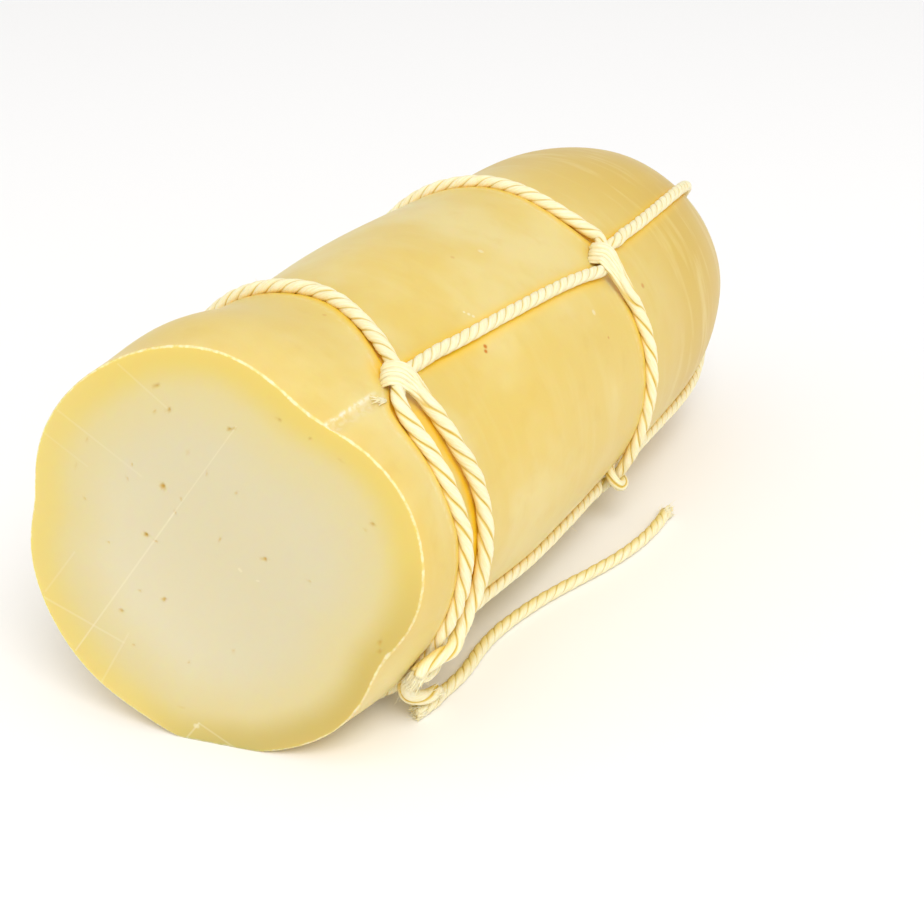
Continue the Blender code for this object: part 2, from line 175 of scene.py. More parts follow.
def farHoopPlace(angle):
    # nearly square across, drawn towards the face on both sides of its hitch
    a = np.radians(angle)
    step = curveThrough(((5.0, 0.0), (12.0, -0.3), (20.0, -1.2), (26.0, -1.9), (32.0, -2.7), (38.0, -3.2),
                         (44.0, -3.0), (48.0, -1.4), (52.0, 0.0), (58.0, -1.0), (66.0, -2.3), (72.0, -2.5),
                         (80.0, -2.0), (88.0, -1.0), (97.0, 0.1), (110.0, 0.0)), apart(angle, 0.0))
    return 164.0 + 0.7 * np.cos(a) + 5.3 * np.sin(a) + step


def crossing(run, hoopPlace):
    # where a run meets a hoop, found by stepping half way each time
    y = 100.0
    for _ in range(30):
        y = 0.5 * y + 0.5 * float(hoopPlace(curveThrough(runs[run], y)))
    return y


hoops = {"near": {"place": nearHoopPlace, "lifts": (0.9, 1.7, 1.2, -0.9)},
         "far": {"place": farHoopPlace, "lifts": (0.9, 1.7, 1.2, 1.7)}}
for hoop in hoops.values():
    hoop["crossings"] = {run: crossing(run, hoop["place"]) for run in runs}
    hoop["angles"] = [float(curveThrough(runs[run], y)) for run, y in hoop["crossings"].items()]


def hoopMiddle(angle, hoop):
    # the hoop's middle line rides over the runs that it crosses, and keeps off the floor
    height = twine["hoopHeight"] + 0.0 * angle
    for at, lift in zip(hoop["angles"], hoop["lifts"]):
        height = height + lift * bell(apart(angle, at), twine["hitchWidth"])
    points = skin(angle, hoop["place"](angle), height)
    points[..., 2] = np.maximum(points[..., 2], floorZ + twine["radius"] + twine["floorClearance"])
    return points


def mirrored(half, middle):
    # the second half is the first one turned end for end
    half = np.array(half)
    return np.concatenate([half, [middle], half[::-1] * (-1.0, -1.0, 1.0, 1.0, 1.0, 1.0)])


# Turns and passes where a run meets a hoop. Each row gives a step along the run and across it,
# height over the skin, thickness, and how far the strands open and lie flat.
passes = {
    "roundTurn": mirrored(((-9.0, -2.4, 1.2, 1.0, 0.0, 0.0), (-4.6, -3.1, -0.9, 0.9, 0.2, 0.0),
                           (0.0, -3.3, -1.6, 0.86, 0.4, 0.0), (3.4, -3.0, -0.4, 0.86, 0.6, 0.0),
                           (4.6, -2.0, 2.7, 0.86, 0.7, 0.0), (3.2, -0.8, 5.4, 0.86, 0.8, 0.0)),
                          (0.0, 0.0, 6.2, 0.9, 0.8, 0.0)),
    "underPass": mirrored(((-9.0, 0.0, 1.2, 1.0, 0.0, 0.0), (-4.5, 0.0, -1.2, 0.9, 0.0, 0.0)),
                          (0.0, 0.0, -1.9, 0.86, 0.0, 0.0)),
    "shiftedPass": ((-9.0, -2.4, 1.2, 1.0, 0.0, 0.0), (-5.5, -2.6, 0.2, 0.9, 0.0, 0.0),
                    (-1.5, -1.2, -1.6, 0.86, 0.0, 0.0), (2.5, 1.6, -1.7, 0.86, 0.0, 0.0),
                    (6.5, 2.7, 0.0, 0.9, 0.0, 0.0), (10.0, 2.3, 1.2, 1.0, 0.0, 0.0)),
    "overPass": ((-2.6, -0.6, 3.8, 0.95, 0.3, 0.0), (0.0, 0.0, 4.3, 0.9, 0.3, 0.0),
                 (4.5, 0.0, 3.3, 0.95, 0.2, 0.0), (9.0, 0.0, 1.7, 1.0, 0.0, 0.0)),
}
# The half hitches: the twine dives under the hoop, turns up round its near side and flattens out
# over it. Each row gives angle, distance and height, then thickness, opening and flatness.
hitches = {
    "near": {"over": (52.0, 40.2, 1.6),
             "turn": ((52.0, 56.5, 1.2, 1.0, 0.0, 0.0), (52.2, 51.0, 0.7, 0.95, 0.0, 0.0),
                      (52.5, 46.4, -0.8, 0.9, 0.2, 0.0), (53.1, 42.2, -1.7, 0.9, 0.4, 0.3),
                      (54.0, 39.2, -0.9, 1.0, 0.6, 0.8), (54.4, 37.4, 1.0, 1.0, 1.0, 1.0),
                      (53.6, 37.1, 3.1, 1.0, 1.0, 1.0), (51.7, 38.3, 4.4, 1.0, 1.0, 1.0),
                      (48.9, 39.8, 4.2, 1.02, 1.0, 0.9), (45.7, 41.0, 3.5, 1.05, 0.8, 0.55),
                      (42.0, 42.0, 2.8, 1.08, 0.3, 0.15))},
    "far": {"over": (47.0, 164.2, 1.6),
            "turn": ((47.6, 166.6, -1.6, 0.9, 0.4, 0.3), (48.8, 163.2, -1.0, 1.0, 0.6, 0.8),
                     (49.2, 161.0, 0.1, 1.0, 1.0, 1.0), (48.2, 159.6, 2.0, 1.05, 1.0, 1.0),
                     (45.6, 159.5, 4.3, 1.08, 1.0, 1.0), (42.0, 159.8, 4.2, 1.08, 1.0, 0.95),
                     (38.0, 160.6, 3.4, 1.08, 1.0, 0.7), (33.8, 161.7, 2.6, 1.1, 0.9, 0.35),
                     (29.4, 162.8, 2.2, 1.1, 0.5, 0.1))},
}
# The strand down the flank as angle, distance and height; then ends that hang to the floor and
# lie on it, across the log, along it and over the floor.
flankStrand = ((36.0, 43.0, 2.4), (27.0, 44.0, 2.4), (18.0, 46.3, 2.4), (6.0, 47.0, 2.4),
               (-8.0, 45.8, 2.4), (-18.0, 44.0, 2.5), (-23.5, 41.0, 2.9), (-26.5, 37.0, 4.0),
               (-28.5, 32.6, 5.2), (-30.5, 28.4, 4.0), (-33.0, 25.4, 2.7), (-35.5, 23.4, 2.4))
droppedEnd = ((45.2, 27.2, 17.4, 1.15, 0.6, 0.0), (43.7, 26.2, 14.2, 1.2, 0.8, 0.0),
              (43.5, 27.4, 11.0, 1.2, 0.9, 0.0), (44.9, 31.2, 8.0, 1.1, 0.9, 0.0),
              (45.8, 35.4, 6.5, 1.0, 0.8, 0.0), (46.5, 39.0, 6.4, 0.9, 0.7, 0.0))
looseTail = ((43.4, 31.6, 2.1), (44.4, 34.6, 2.1), (45.1, 38.6, 2.1), (45.1, 43.8, 2.1), (45.3, 48.6, 2.1),
             (45.5, 53.6, 2.1), (44.9, 61.0, 2.1), (43.8, 69.0, 2.1), (43.4, 80.0, 2.1), (44.6, 92.0, 2.1),
             (46.8, 104.0, 2.1), (50.0, 116.0, 2.1), (53.6, 128.0, 2.1), (56.6, 140.0, 2.1),
             (58.4, 152.0, 2.1), (58.8, 164.0, 2.1), (58.0, 176.0, 2.1))


def withTwist(points, *twist):
    # adds thickness, opening and flatness: 1, 0 and 0 unless given
    values = (*twist, *(1.0, 0.0, 0.0)[len(twist):])
    return np.column_stack([points, *(np.full(len(points), value) for value in values)])


def onSkin(rows):
    # controls from rows of angle, distance and height, with the twist's three columns if given
    rows = np.array(rows)
    points = skin(rows[:, 0], rows[:, 1], rows[:, 2])
    return np.column_stack([points, rows[:, 3:]]) if rows.shape[1] > 3 else points


def turnsOf(run):
    # places where a run is shifted by a hitch or a full turn about a hoop
    far = [hoops["far"]["crossings"][run]] if run != "lower" else []
    return far + ([hoops["near"]["crossings"][run]] if run == "left" else [])


def track(run, along):
    # angle of a run's twine: it shifts sideways at each full turn
    angle = curveThrough(runs[run], along)
    for place in turnsOf(run):
        angle = angle + twine["turnShift"] * np.tanh((along - place) / 3.0) * bell(along - place, 18.0)
    return angle


def runHeight(along):
    # a run stands a little higher where it goes over the dome
    crown = curveThrough(((capStart, 0.0), (capStart + 30.0, 1.0)), along)
    return twine["runHeight"] + (twine["crownHeight"] - twine["runHeight"]) * crown


def stretch(run, start, stop):
    # controls every 11 mm or so along a plain length of a run
    along = np.linspace(start, stop, max(2, int(abs(stop - start) / 11.0) + 1))
    return withTwist(skin(track(run, along), along, runHeight(along)))


def lay(run, place, steps):
    # controls of a turn or a pass, from its steps along the run and across it
    angle = float(curveThrough(runs[run], place))
    steps = np.array(steps)
    across = np.degrees(steps[:, 1] / float(logRadius(angle % 360.0, place)))
    return np.column_stack([skin(angle + across, place + steps[:, 0], steps[:, 2]), steps[:, 3:]])


def sideControls(run, start, farPass):
    # one run from its start at the near hoop, round or under the far hoop and up the dome
    near, far = hoops["near"]["crossings"][run], hoops["far"]["crossings"][run]
    return np.concatenate([start, stretch(run, near + twine["hitchSpace"], far - twine["turnSpace"]),
                           lay(run, far, passes[farPass]),
                           stretch(run, far + twine["turnSpace"], pole - twine["poleSpace"])])


def polePoint(height):
    # control so high over the dome's tip
    return withTwist(np.array([[0.0, logForm["length"] + height, 0.0]]))


def onFloor(rows):
    # controls from rows of places across, along and over the floor, with the twist if given
    rows = np.array(rows)
    return np.column_stack([rows[:, :3] + np.array([0.0, 0.0, floorZ]), rows[:, 3:]])


def evenPath(controls, spacing):
    # cubic through the controls, then points at even distances along it
    controls = np.array(controls, dtype=float)
    steps = np.linalg.norm(np.diff(controls[:, :3], axis=0), axis=1)
    place = np.concatenate([[0.0], np.cumsum(steps)])
    slopes = np.gradient(controls, place, axis=0)
    fine = np.linspace(0.0, place[-1], int(place[-1] / 0.1) + 2)
    i = np.clip(np.searchsorted(place, fine, side="right") - 1, 0, len(steps) - 1)
    span = steps[i][:, None]
    return evenly(cubic((fine - place[i])[:, None] / span, span, controls, slopes, i), spacing)


def evenly(path, spacing):
    # points at even distances along a path of straight pieces
    length = np.concatenate([[0.0], np.cumsum(np.linalg.norm(np.diff(path[:, :3], axis=0), axis=1))])
    even = np.linspace(0.0, length[-1], int(length[-1] / spacing) + 2)
    return np.column_stack([np.interp(even, length, column) for column in path.T])


def carriedNormals(tangents):
    # a side direction handed on from point to point without turning about the path
    normals = np.empty_like(tangents)
    side = np.cross(tangents[0], (0.3, 0.2, 0.93))
    for k, tangent in enumerate(tangents):
        side = unit(side - tangent * side.dot(tangent))
        normals[k] = side
    return normals


def ringFaces(rings, columns):
    # quads between neighbouring rings, wound so that rings that turn left about their
    # direction of travel face outwards, and fans onto the two points after the last ring
    j = np.arange(columns)
    k = (j + 1) % columns
    this = columns * np.arange(rings - 1)[:, None]
    quads = np.stack([this + j, this + k, this + columns + k, this + columns + j], axis=-1)
    last = (rings - 1) * columns
    fans = np.concatenate([np.stack([k, j, np.full(columns, rings * columns)], axis=-1),
                           np.stack([last + j, last + k, np.full(columns, rings * columns + 1)], axis=-1)])
    return quads.reshape(-1, 4), fans


def meshPiece(name, vertices, faces, material, attributes, uv=None):
    # a piece in the frame, with a value at each vertex for each attribute that its material reads
    mesh = bpy.data.meshes.new(name)
    mesh.from_pydata(vertices, [], faces)
    for key, values in attributes.items():
        layer = mesh.attributes.new(key, "FLOAT", "POINT")
        layer.data.foreach_set("value", np.asarray(values, dtype=np.float32))
    if uv is not None:
        corners = np.empty(len(mesh.loops), dtype=np.int32)
        mesh.loops.foreach_get("vertex_index", corners)
        layer = mesh.uv_layers.new(name="strand")
        layer.data.foreach_set("uv", np.asarray(uv, dtype=np.float32)[corners].ravel())
    mesh.shade_smooth()
    mesh.materials.append(material)
    piece = bpy.data.objects.new(name, mesh)
    scene.collection.objects.link(piece)
    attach(piece, "root")
    return piece


def linear(hexColour):
    # sRGB hex to the linear colour that the shader works in
    parts = [int(hexColour[i:i + 2], 16) / 255.0 for i in (1, 3, 5)]
    return tuple(p / 12.92 if p <= 0.04045 else ((p + 0.055) / 1.055) ** 2.4 for p in parts) + (1.0,)


def addNode(tree, kind, inputs=None, output=0, **settings):
    # one node: its settings, and for each input a value, a hex colour or the output that feeds it
    node = tree.nodes.new(kind)
    for key, value in settings.items():
        setattr(node, key, value)
    for key, value in (inputs or {}).items():
        if isinstance(value, bpy.types.NodeSocket):
            tree.links.new(value, node.inputs[key])
        else:
            node.inputs[key].default_value = linear(value) if isinstance(value, str) else value
    return node.outputs[output]


def layered(tree, colour, layers):
    # colours laid over one another, each by its own factor
    for factor, layer in layers:
        colour = addNode(tree, "ShaderNodeMix", {0: factor, 6: colour, 7: layer}, 2, data_type="RGBA")
    return colour


def eased(tree, sources, ramps):
    # each ramp eases from its least to its most as its source goes from low to high
    masks = dict(sources)
    for name, (source, low, high, least, most) in ramps.items():
        masks[name] = addNode(tree, "ShaderNodeMapRange", {
            "Value": masks[source], "From Min": low, "From Max": high, "To Min": least, "To Max": most,
        }, interpolation_type="SMOOTHSTEP")
    return masks


def newMaterial(name, finish):
    # the finish is what is the same all over the surface, set on the shader itself
    material = bpy.data.materials.new(name)
    material.use_nodes = True
    shader = material.node_tree.nodes["Principled BSDF"]
    for key, value in finish.items():
        shader.inputs[key].default_value = value
    return material, material.node_tree, shader


# Cotton twine, three strands laid together and dipped in wax: pale cream, with deeper yellow
# painted in as shade where the strands meet and on the side that rests on the cheese, with
# fibres that run along each strand and a soft low gloss.
# Ramps are (what they follow, low, high, least, most).
twineLook = {
    "finish": {"Roughness": 0.52, "IOR": 1.45, "Subsurface Weight": 0.25,
               "Subsurface Radius": (1.0, 0.75, 0.4), "Subsurface Scale": 0.0009},
    # the deep yellow between the strands and the golden towards the cheese are painted shade
    "crest": "#FBF2CE", "body": "#F6E7B4", "paintedValleyShade": "#E2BE48", "golden": "#EDD47A",
    "ramps": {"pale": ("fibres", 0.36, 0.62, 0.0, 1.0), "paintedUnderShade": ("under", 0.42, 0.9, 0.0, 0.85),
              "between": ("depth", 0.4, 1.05, 0.0, 1.0)},
}


def waxedTwine():
    material, tree, shader = newMaterial("waxedCottonTwine", twineLook["finish"])
    uv = addNode(tree, "ShaderNodeUVMap", output="UV", uv_map="strand")
    # the strand's map is in millimetres: along it in u, round it in v
    alongFibres = addNode(tree, "ShaderNodeMapping", {"Vector": uv, "Scale": (0.22, 2.6, 1.0)})
    sources = {key: addNode(tree, "ShaderNodeAttribute", output="Fac", attribute_name=key)
               for key in ("depth", "under")}
    sources["fibres"] = addNode(tree, "ShaderNodeTexNoise", {
        "Vector": alongFibres, "Scale": 1.0, "Detail": 4.0, "Roughness": 0.62}, "Fac")
    masks = eased(tree, sources, twineLook["ramps"])
    # painted shade: golden on the side that rests on the cheese, deep yellow between the strands
    colour = layered(tree, twineLook["body"], [
        (masks["pale"], twineLook["crest"]), (masks["paintedUnderShade"], twineLook["golden"]),
        (masks["between"], twineLook["paintedValleyShade"])])
    bump = addNode(tree, "ShaderNodeBump", {"Height": sources["fibres"], "Strength": 0.7,
                                            "Distance": 0.00035})
    tree.links.new(colour, shader.inputs["Base Color"])
    tree.links.new(bump, shader.inputs["Normal"])
    return material


twineMaterial = waxedTwine()

# Three strands laid together. Each is an oval tube with a few ridges, the yarns it is spun from.
# Their millimetres grow with the twine's thickness.
rope = {"strands": 3, "offset": 0.94, "thick": 1.08, "wide": 1.34, "reach": 2.3, "layLength": 14.0,
        "columns": 28, "spacing": 0.8, "yarns": 7, "yarnDepth": 0.09, "opened": 1.3, "spread": 0.12,
        "flatApart": 2.1, "flatThick": 0.85, "flatWide": 1.36, "plies": 5, "plyDepth": 0.3}


def sidewaysTo(vectors, tangents):
    # what is left of each vector after its part along the tangent is taken off, made a unit
    return unit(vectors - tangents * np.sum(vectors * tangents, axis=1, keepdims=True))


def headings(points, closed=False):
    # unit vectors from each point's forerunner to its follower
    if closed:
        around = np.concatenate([points[-1:], points, points[:1]])
        return unit(around[2:] - around[:-2])
    return unit(np.gradient(points, axis=0))


def slotsAcross(flat, offsets, across):
    # where the twine flattens its strands take places side by side, in the order they came in
    slots = np.zeros((len(offsets), len(flat)))
    starts = np.flatnonzero(np.diff(np.concatenate([[0.0], (flat > 0.02).astype(float)])) > 0.5)
    for start in starts:
        order = np.argsort([offset[start].dot(across[start]) for offset in offsets])
        for place, strand in enumerate(order):
            slots[strand, start:] = place - (len(offsets) - 1) / 2
    return slots


def twistedTwine(name, path, closed=False, layLength=None, over=None):
    # strand middle = path + offset * (cos, sin of the lay angle) across it; where the twine is
    # flat the strands lie side by side instead, thin and wide, about the cord that they go over
    points, size, opened, flat = path[:, :3], path[:, 3], path[:, 4], path[:, 5]
    step = np.linalg.norm(np.diff(points, axis=0), axis=1).mean()
    tangents = headings(points, closed)
    radial = points * np.array([1.0, 0.0, 1.0])
    normals = sidewaysTo(radial, tangents) if closed else carriedNormals(tangents)
    binormals = np.cross(tangents, normals)
    outward = unit(radial)
    if over is not None:
        fromCord = points - skin(over[0], over[1], over[2])
        distance = np.linalg.norm(fromCord, axis=1, keepdims=True)
        share = bell(distance, 6.0)
        outward = share * fromCord / distance + (1.0 - share) * outward
    outward = sidewaysTo(outward, tangents)
    across = np.cross(tangents, outward)
    lay = (layLength or rope["layLength"]) * (1.0 + rope["opened"] * opened)
    turned = np.cumsum(step / lay * np.clip(1.0 - 4.0 * flat, 0.0, 1.0))
    if closed:
        turned *= round(turned[-1]) / turned[-1]
    phases = [2 * math.pi * (strand / rope["strands"] - turned) for strand in range(rope["strands"])]
    offsets = [np.cos(phi)[:, None] * normals + np.sin(phi)[:, None] * binormals for phi in phases]
    slots = slotsAcross(flat, offsets, across)
    psi = np.arange(rope["columns"]) * 2 * math.pi / rope["columns"]
    s = np.arange(len(points)) * step
    flatness = flat[:, None]
    around = np.abs(psi / math.pi - 1.0) * 3.4      # runs up and down again, so the seam is closed
    plies = np.abs(np.sin(rope["plies"] / 2 * psi))
    vertices, faces, uv, depth, under = [], [], [], [], []
    for strand, offset in enumerate(offsets):
        laid = offset * rope["offset"] * (1.0 + rope["spread"] * opened)[:, None]
        level = across * (slots[strand] * rope["flatApart"])[:, None]
        middle = points + ((1.0 - flatness) * laid + flatness * level) * size[:, None]
        heading = headings(middle, closed)
        # the strand's own angle from outward, brought level where the twine lies flat
        lean = np.unwrap(np.arctan2(np.sum(offset * across, axis=1), np.sum(offset * outward, axis=1)))
        if flat.max() > 0.5:
            lean = (1.0 - flat) * lean + flat * math.pi * np.round(lean[flat > 0.5].mean() / math.pi)
        upward = sidewaysTo(np.cos(lean)[:, None] * outward + np.sin(lean)[:, None] * across, heading)
        sideways = np.cross(heading, upward)
        swell = 1.0 + 0.045 * np.sin(s * 0.9 + 2.1 * strand) + 0.04 * np.sin(s * 0.37 + 1.3 * strand)
        # yarns wind slowly round the strand; 0.64 is the middle height of their ridges
        ridges = rope["yarns"] / 2 * (psi + (0.11 * s + 0.25 * np.sin(0.31 * s + strand))[:, None])
        yarn = (1.0 + rope["yarnDepth"] * (np.abs(np.cos(ridges)) - 0.64)
                + flatness * rope["plyDepth"] * (plies - 0.64))
        if closed:
            fade = 1.0 - bell(s, 2.0) - bell(s - s[-1], 2.0)
            yarn = 1.0 + (yarn - 1.0) * fade[:, None]
            swell = 1.0 + (swell - 1.0) * fade
        thick = (1.0 - flat) * rope["thick"] + flat * rope["flatThick"]
        wide = (1.0 - flat) * rope["wide"] + flat * rope["flatWide"]
        oval = (upward[:, None, :] * (np.cos(psi)[None, :] * thick[:, None])[..., None]
                + sideways[:, None, :] * (np.sin(psi)[None, :] * wide[:, None])[..., None])
        rings = middle[:, None, :] + oval * (yarn * (size * swell)[:, None])[..., None]
        # how far the surface turns in between the strands, where the painted shade goes
        hidden = ((1.0 - flatness) * np.clip((1.0 - np.cos(psi))[None, :], 0.0, 1.0)
                  + flatness * np.clip(0.8 - plies, 0.0, 1.0))
        # 0 on the twine's outer side, 1 on the side that rests on the cheese
        above = np.sum((rings - points[:, None, :]) * outward[:, None, :], axis=2)
        below = 0.5 - above / (2 * rope["reach"] * size)[:, None]
        along = s
        if closed:
            rings, hidden, below = (np.concatenate([rows, rows[:1]]) for rows in (rings, hidden, below))
            along = np.append(s, s[-1] + step)
        first = sum(len(v) for v in vertices)
        tips = 0 if closed else 2
        vertices += [rings.reshape(-1, 3), rings[[0, -1]].mean(axis=1)[:tips]]
        quads, fans = ringFaces(len(rings), rope["columns"])
        faces += (quads + first).tolist() + ([] if closed else (fans + first).tolist())
        uv += [np.stack(np.broadcast_arrays(along[:, None] + 40.0 * strand, around[None] + 7.0 * strand),
                        axis=-1).reshape(-1, 2), np.zeros((tips, 2))]
        depth += [hidden.ravel(), np.zeros(tips)]
        under += [below.ravel(), np.full(tips, 0.5)]
    return meshPiece(name, toObject(np.concatenate(vertices)), faces, twineMaterial,
                     {"depth": np.concatenate(depth), "under": np.concatenate(under)}, np.concatenate(uv))


# A cut end opens into a brush: a few thick bundles of yarn, and round them many loose fibres.
# Each end has (how many, their length, their radius) for both, how far they spread and their lean.
frays = {
    "frayedFlankEnd": {"bundles": (34, 6.5, 0.65), "fibres": (200, 7.4, 0.2), "spread": 0.22,
                       "lean": (-0.5, -0.1, -1.0)},
    "frayedDroppedEnd": {"bundles": (5, 2.6, 0.5), "fibres": (70, 3.2, 0.2), "spread": 0.2,
                         "lean": (0.0, 0.1, -0.2)},
    "frayedTailStart": {"bundles": (30, 3.2, 0.65), "fibres": (160, 3.4, 0.2), "spread": 0.16,
                        "lean": (0.0, 0.0, 0.0)},
    "frayedTailEnd": {"bundles": (6, 3.6, 0.6), "fibres": (110, 4.6, 0.2), "spread": 0.2,
                      "lean": (0.0, 0.0, 0.0)},
}
fibreShape = {"sides": 6, "points": 10}


def fibres(name, roots, directions, lengths, thickness, curl, seed):
    # fibre = root + direction * t + a bend that grows with t squared, thinning to its tip
    rng = np.random.default_rng(seed)
    count, steps, sides = len(roots), fibreShape["points"], fibreShape["sides"]
    t = np.linspace(0.0, 1.0, steps)
    bend = rng.normal(0.0, 1.0, (count, 3)) * curl
    wave = rng.normal(0.0, 0.18, (count, 3)) * curl
    path = (roots[:, None, :] + directions[:, None, :] * (lengths[:, None] * t)[..., None]
            + (bend[:, None, :] * (t ** 2)[None, :, None]
               + wave[:, None, :] * np.sin(7.0 * t)[None, :, None]) * lengths[:, None, None])
    path[..., 2] = np.maximum(path[..., 2], floorZ + thickness[:, None])      # none dips into the floor
    heading = unit(np.gradient(path, axis=1))
    side = unit(np.cross(heading, np.array([0.31, 0.17, 0.94])))
    other = np.cross(heading, side)
    psi = np.arange(sides) * 2 * math.pi / sides
    radius = thickness[:, None] * (1.0 - 0.75 * t ** 2)[None, :]
    rings = path[:, :, None, :] + radius[..., None, None] * (
        np.cos(psi)[None, None, :, None] * side[:, :, None, :]
        + np.sin(psi)[None, None, :, None] * other[:, :, None, :])
    ends = np.stack([path[:, 0], path[:, -1]], axis=1)
    vertices = np.concatenate([rings.reshape(count, -1, 3), ends], axis=1).reshape(-1, 3)
    firsts = np.arange(count)[:, None, None] * (steps * sides + 2)
    quads, fans = ringFaces(steps, sides)
    faces = (quads + firsts).reshape(-1, 4).tolist() + (fans + firsts).reshape(-1, 3).tolist()
    uv = np.zeros((len(vertices), 2))
    uv[:, 0] = vertices @ np.array([0.9, 1.1, 0.7])
    return meshPiece(name, toObject(vertices), faces, twineMaterial,
                     {"depth": np.full(len(vertices), 0.12), "under": np.full(len(vertices), 0.4)}, uv)


def frayedEnd(name, path, seed, last=True):
    # roots lie inside the end of the twine, and fan out the further they start from its middle
    rng = np.random.default_rng(seed)
    look = frays[name]
    points = path[:, :3] if last else path[::-1, :3]
    tangents = headings(points)
    tip, heading = points[-3], tangents[-3]
    side = unit(np.cross(heading, (0.0, 0.0, 1.0)))
    other = np.cross(side, heading)
    kinds = [look["bundles"] + (1.6, 0.12), look["fibres"] + (1.9, 0.07)]
    count = sum(kind[0] for kind in kinds)
    length, thickness, width, curl = (np.concatenate([np.full(kind[0], kind[i]) for kind in kinds])
                                      for i in (1, 2, 3, 4))
    turn, reach = rng.uniform(0.0, 2 * math.pi, count), np.sqrt(rng.uniform(0.0, 1.0, count))
    away = np.cos(turn)[:, None] * side + np.sin(turn)[:, None] * other
    roots = tip + away * (reach * width)[:, None] - heading * rng.uniform(0.0, 2.0, count)[:, None]
    directions = unit(heading + away * (look["spread"] * reach)[:, None] + np.array(look["lean"]))
    length *= rng.uniform(0.7, 1.05, count)
    thickness *= rng.uniform(0.5, 1.3, count)
    thin = (width > 1.0) & (rng.uniform(0.0, 1.0, count) < 0.3)      # a few fine ones stand away
    length[thin] *= 1.15
    thickness[thin] *= 0.35
    return fibres(name, roots, directions, length, thickness, np.where(thin, 0.25, curl)[:, None], seed)


# Free cord first: the loose tail lies on the floor beside the log.
tailPath = evenPath(withTwist(onFloor(looseTail), 0.97), rope["spacing"])
tail = twistedTwine("looseTail", tailPath)
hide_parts("twine_loose_tail")
tailFrays = [frayedEnd("frayedTailStart", tailPath, 11, last=False),
             frayedEnd("frayedTailEnd", tailPath, 12)]

# Hoops, a little thicker than the runs. The near one is a closed ring. The far one turns up out
# of its hitch, goes round the log and back under the hitch.
ringAngles = np.linspace(0.0, 360.0, 3600, endpoint=False)


def hoopControls(angles, hoop):
    # squeezed thinner where it crosses a run, and its strands opened where it is pulled straight
    # down the flank
    squeeze = sum(bell(apart(angles, at), 9.0) for at in hoop["angles"])
    controls = withTwist(hoopMiddle(angles, hoop))
    controls[:, 3] = (1.0 - (1.0 - twine["squeezed"]) * squeeze) * twine["hoopSize"]
    controls[:, 4] = 0.45 * bell(apart(angles, 12.0), 34.0)
    return controls


nearRing = hoopControls(ringAngles, hoops["near"])
nearHoop = twistedTwine("nearHoop", evenly(np.concatenate([nearRing, nearRing[:1]]), rope["spacing"])[:-1],
                        closed=True, layLength=17.0)
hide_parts("twine_hoop_near")
farRound = hoopControls(np.linspace(24.0, -305.0, 120), hoops["far"])
farEnd = onSkin(((51.8, 168.9, 1.9, 0.95, 0.0, 0.0), (49.6, 166.9, 2.0, 0.9, 0.2, 0.0),
                 (47.0, 164.2, 1.6, 0.86, 0.4, 0.0), (45.2, 161.2, 0.4, 0.86, 0.4, 0.0)))
farPath = evenPath(np.concatenate([onSkin(hitches["far"]["turn"]), farRound, farEnd]), rope["spacing"])
farHoop = twistedTwine("farHoop", farPath, layLength=16.5, over=hitches["far"]["over"])
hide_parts("twine_hoop_far")
print("hoops tied")

# Runs: each pair goes over the dome, and the sides cross over the top pair at the pole.
nearTurns = {run: lay(run, hoops["near"]["crossings"][run], passes[kind])
             for run, kind in (("left", "roundTurn"), ("lower", "underPass"), ("right", "overPass"))}
flank = withTwist(onSkin(flankStrand), 1.1, 0.45)
overTop = np.concatenate([flank[::-1], onSkin(hitches["near"]["turn"])[::-1],
                          sideControls("upper", np.empty((0, 6)), "shiftedPass"),
                          polePoint(twine["crownHeight"]),
                          sideControls("lower", nearTurns["lower"], "underPass")[::-1]])
overSides = np.concatenate([sideControls("left", nearTurns["left"], "roundTurn"),
                            polePoint(twine["crownHeight"] + twine["overPole"]),
                            sideControls("right", nearTurns["right"], "roundTurn")[::-1],
                            onFloor(droppedEnd)])
topPath = evenPath(overTop, rope["spacing"])
topPiece = twistedTwine("twineOverTop", topPath, over=hitches["near"]["over"])
sidePath = evenPath(overSides, rope["spacing"])
sidePiece = twistedTwine("twineOverSides", sidePath)
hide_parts("twine_over_top")
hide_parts("twine_over_sides")
frayedEnd("frayedFlankEnd", topPath, 13, last=False)
frayedEnd("frayedDroppedEnd", sidePath, 14)


# Fine fibres in millimetres: how many, how long, how thick and how bent.
strays = {"count": 260, "shortest": 0.6, "more": 1.6, "radius": 0.045, "curl": 0.35, "out": 1.7}
snag = {"count": 14, "angle": 48.6, "along": 31.2, "reach": (1.6, 4.6), "radius": (0.14, 0.3), "curl": 0.12}


def looseFibres():
    # stray fibres stand off all the twines, most of them short
    rng = np.random.default_rng(21)
    paths = np.concatenate([topPath, sidePath, nearRing[::12], farPath, tailPath])[:, :3]
    roots = paths[rng.integers(0, len(paths) - 1, strays["count"])]
    away = unit(rng.normal(0.0, 1.0, roots.shape))
    roots = roots + away * strays["out"]
    outward = roots * np.array([1.0, 0.0, 1.0]) / 70.0
    directions = unit(away + 0.8 * outward + rng.normal(0.0, 0.3, roots.shape))
    lengths = strays["shortest"] + strays["more"] * rng.uniform(0.0, 1.0, len(roots)) ** 2
    return fibres("strayFibres", roots, directions, lengths, np.full(len(roots), strays["radius"]),
                  strays["curl"], 22)


def snaggedFibres():
    # wisps of twine caught in the old groove, where it meets the near hitch: each lies along the
    # skin from the strand towards the cut, and a few fork upwards
    rng = np.random.default_rng(31)
    count = snag["count"]
    angle = snag["angle"] + rng.normal(0.0, 0.35, count)
    along = snag["along"] + rng.normal(0.0, 0.5, count)
    reach = rng.uniform(*snag["reach"], count)
    fork = np.where(rng.uniform(0.0, 1.0, count) < 0.4, 2.6, 0.9) * reach / 4.0
    roots = skin(angle, along, np.full(count, 0.15))
    reached = skin(angle + fork, along - reach, np.full(count, 0.3)) - roots
    lengths = np.linalg.norm(reached, axis=1)
    return fibres("snaggedFibres", roots, unit(reached), lengths, rng.uniform(*snag["radius"], count),
                  snag["curl"], 32)


looseFibres()
snaggedFibres()
print("runs laid")
